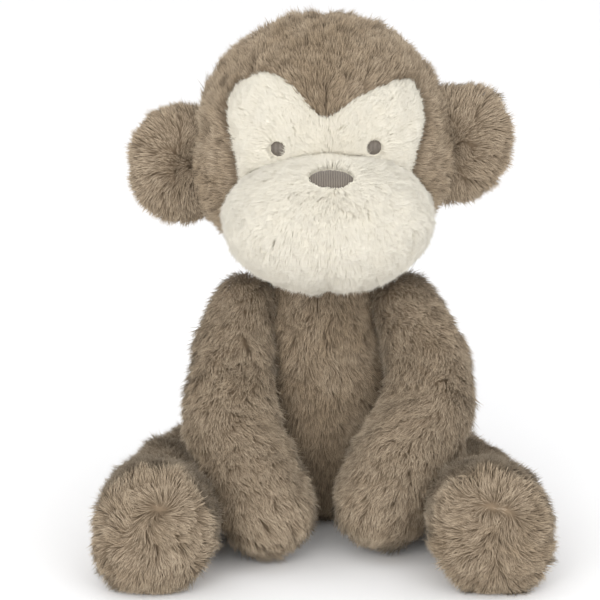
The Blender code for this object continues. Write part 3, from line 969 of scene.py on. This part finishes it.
def satin(name, node, tree, middle, out, across, half, pitch, radius, dome, body="head"):
    """Satin stitch: threads side by side, each from edge to edge of an oval, over a slight dome."""
    out, across = Vector(out), Vector(across)
    wide = Vector((1, 0, 0))
    count = int(half[0] / pitch)
    verts, faces, shades = [], [], []
    for layer, reach in ((0, 0.90), (1, 1.0)):
        for k in range(-count, count + 1):
            x = (k + (0.5 if layer == 0 else 0.0)) * pitch
            if abs(x) > half[0] * reach * 0.995:
                continue
            h = half[1] * reach * math.sqrt(1 - (x / (half[0] * reach)) ** 2) + 0.0002
            h *= 1 + rng.normal() * 0.025
            path, radii = [], []
            for i in range(11):
                s = i / 10 * 2 - 1
                y = s * h
                at = Vector(middle) + wide * x + across * y
                hit = tree.ray_cast(at + out * 0.03, -out)[0]
                if hit is None:
                    hit = at
                lift = dome * math.sqrt(max(0.0, 1 - (x / half[0]) ** 2 * 0.9)) * (1 - abs(s) ** 2.6)
                path.append(hit + out * (lift * (0.55 if layer == 0 else 1.0) - 0.0004 + 0.0002 * rng.random() * (abs(s) < 0.95)))
                radii.append(radius * (1.0 if abs(s) < 0.97 else 0.45))
            v, f = tube(path, radii)
            shades += [0.5 + 0.2 * rng.normal()] * len(v)
            faces += [tuple(j + len(verts) for j in g) for g in f]
            verts += v
    mesh = bpy.data.meshes.new(name)
    mesh.from_pydata([Vector(v) for v in verts], [], faces)
    layer = mesh.uv_layers.new(name="OFBake")
    index = np.empty(len(mesh.loops), np.int32)
    mesh.loops.foreach_get("vertex_index", index)
    v = np.array(verts)
    e = v - np.array(middle)
    uv = np.stack([0.5 + e[:, 0] / (half[0] * 2.4), 0.5 + (e @ np.array(across)) / (half[1] * 2.4)], 1)[index]
    layer.data.foreach_set("uv", uv.astype(np.float32).ravel())
    mesh.polygons.foreach_set("use_smooth", np.ones(len(mesh.polygons), bool))
    o = bpy.data.objects.new(name, mesh)
    scene.collection.objects.link(o)
    mesh.materials.append(THREAD)
    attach(o, body)
    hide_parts(node)
    return o


turn = np.array(TILT)
satin("nose_stitches", "nose_embroidery", trees["muzzle"], on_head(NOSE_AT) + MIDDLE, turn @ NOSE_OUT, turn @ NOSE_ACROSS, NOSE_HALF, 0.00050, 0.00036, 0.0026)
for word, sign in (("left", 1), ("right", -1)):
    satin("eye_stitches_" + word, "eye_embroidery_" + word, trees["skull"], on_head((sign * EYE_AT[0], -0.050, EYE_AT[1] + 0.0005)) + MIDDLE, (0, -1, 0), (0, 0, 1), (EYE_RADIUS, EYE_RADIUS), 0.00048, 0.00034, 0.0020)

# -------------------------------------------------- the fillings, inside the skins
for node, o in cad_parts.items():
    if o.hide_render:
        continue
    o.data.materials.clear()
    o.data.materials.append(POUCH if node == "seat_pellet_pouch" else FIBRE)

# ------------------------------------------------------------ floor and light
def sweep():
    """A white floor that curves up into a backdrop far behind."""
    profile = [(-4.0, 0.0)] + [(2.2 + 0.9 * math.sin(a), 0.9 - 0.9 * math.cos(a)) for a in np.linspace(0, math.pi / 2, 14)] + [(3.1, 5.0)]
    verts, faces = [], []
    for y, z in profile:
        verts += [(-6.0, y, z), (6.0, y, z)]
    for i in range(len(profile) - 1):
        faces.append((2 * i, 2 * i + 1, 2 * i + 3, 2 * i + 2))
    mesh = bpy.data.meshes.new("studio_sweep")
    mesh.from_pydata(verts, [], faces)
    for p in mesh.polygons:
        p.use_smooth = True
    o = bpy.data.objects.new("studio_sweep", mesh)
    scene.collection.objects.link(o)
    m = bpy.data.materials.new("studio_white")
    m.use_nodes = True
    shader = m.node_tree.nodes["Principled BSDF"]
    shader.inputs["Base Color"].default_value = (0.93, 0.93, 0.935, 1)
    shader.inputs["Roughness"].default_value = 0.9
    shader.inputs["Specular IOR Level"].default_value = 0.1
    mesh.materials.append(m)


sweep()


def area(name, place, aim, size, power_w, colour=(1, 1, 1)):
    light = bpy.data.lights.new(name, "AREA")
    light.shape = "SQUARE"
    light.size = size
    light.energy = power_w
    light.color = colour
    o = bpy.data.objects.new(name, light)
    scene.collection.objects.link(o)
    o.location = place
    o.rotation_mode = "QUATERNION"
    o.rotation_quaternion = (Vector(aim) - Vector(place)).to_track_quat("-Z", "Y")
    o.visible_camera = False
    return o


area("key", (-0.60, -1.75, 0.85), (0, 0, 0.12), 1.1, 15.5, (1.0, 0.99, 0.97))
area("fill", (0.95, -1.70, 0.65), (0, 0, 0.12), 1.2, 9.0)

world = bpy.data.worlds.new("studio")
world.use_nodes = True
world.node_tree.nodes["Background"].inputs["Color"].default_value = (1, 1, 1, 1)
world.node_tree.nodes["Background"].inputs["Strength"].default_value = 1.07
scene.world = world
scene.view_settings.view_transform = "Standard"

# --------------------------------------------------------------------- camera
camera_data = bpy.data.cameras.new("camera")
camera_data.sensor_width = 36.0
camera_data.lens = 145.9
camera = bpy.data.objects.new("camera", camera_data)
scene.collection.objects.link(camera)
aim = Vector((-0.0115, 0.0, 0.125)) + MIDDLE
camera.location = aim + Vector((0, -1.25 * math.cos(math.radians(14)), 1.25 * math.sin(math.radians(14))))
camera.rotation_mode = "QUATERNION"
camera.rotation_quaternion = (aim - camera.location).to_track_quat("-Z", "Y")
camera_data.clip_start, camera_data.clip_end = 0.05, 30.0
scene.camera = camera

bpy.context.view_layer.update()
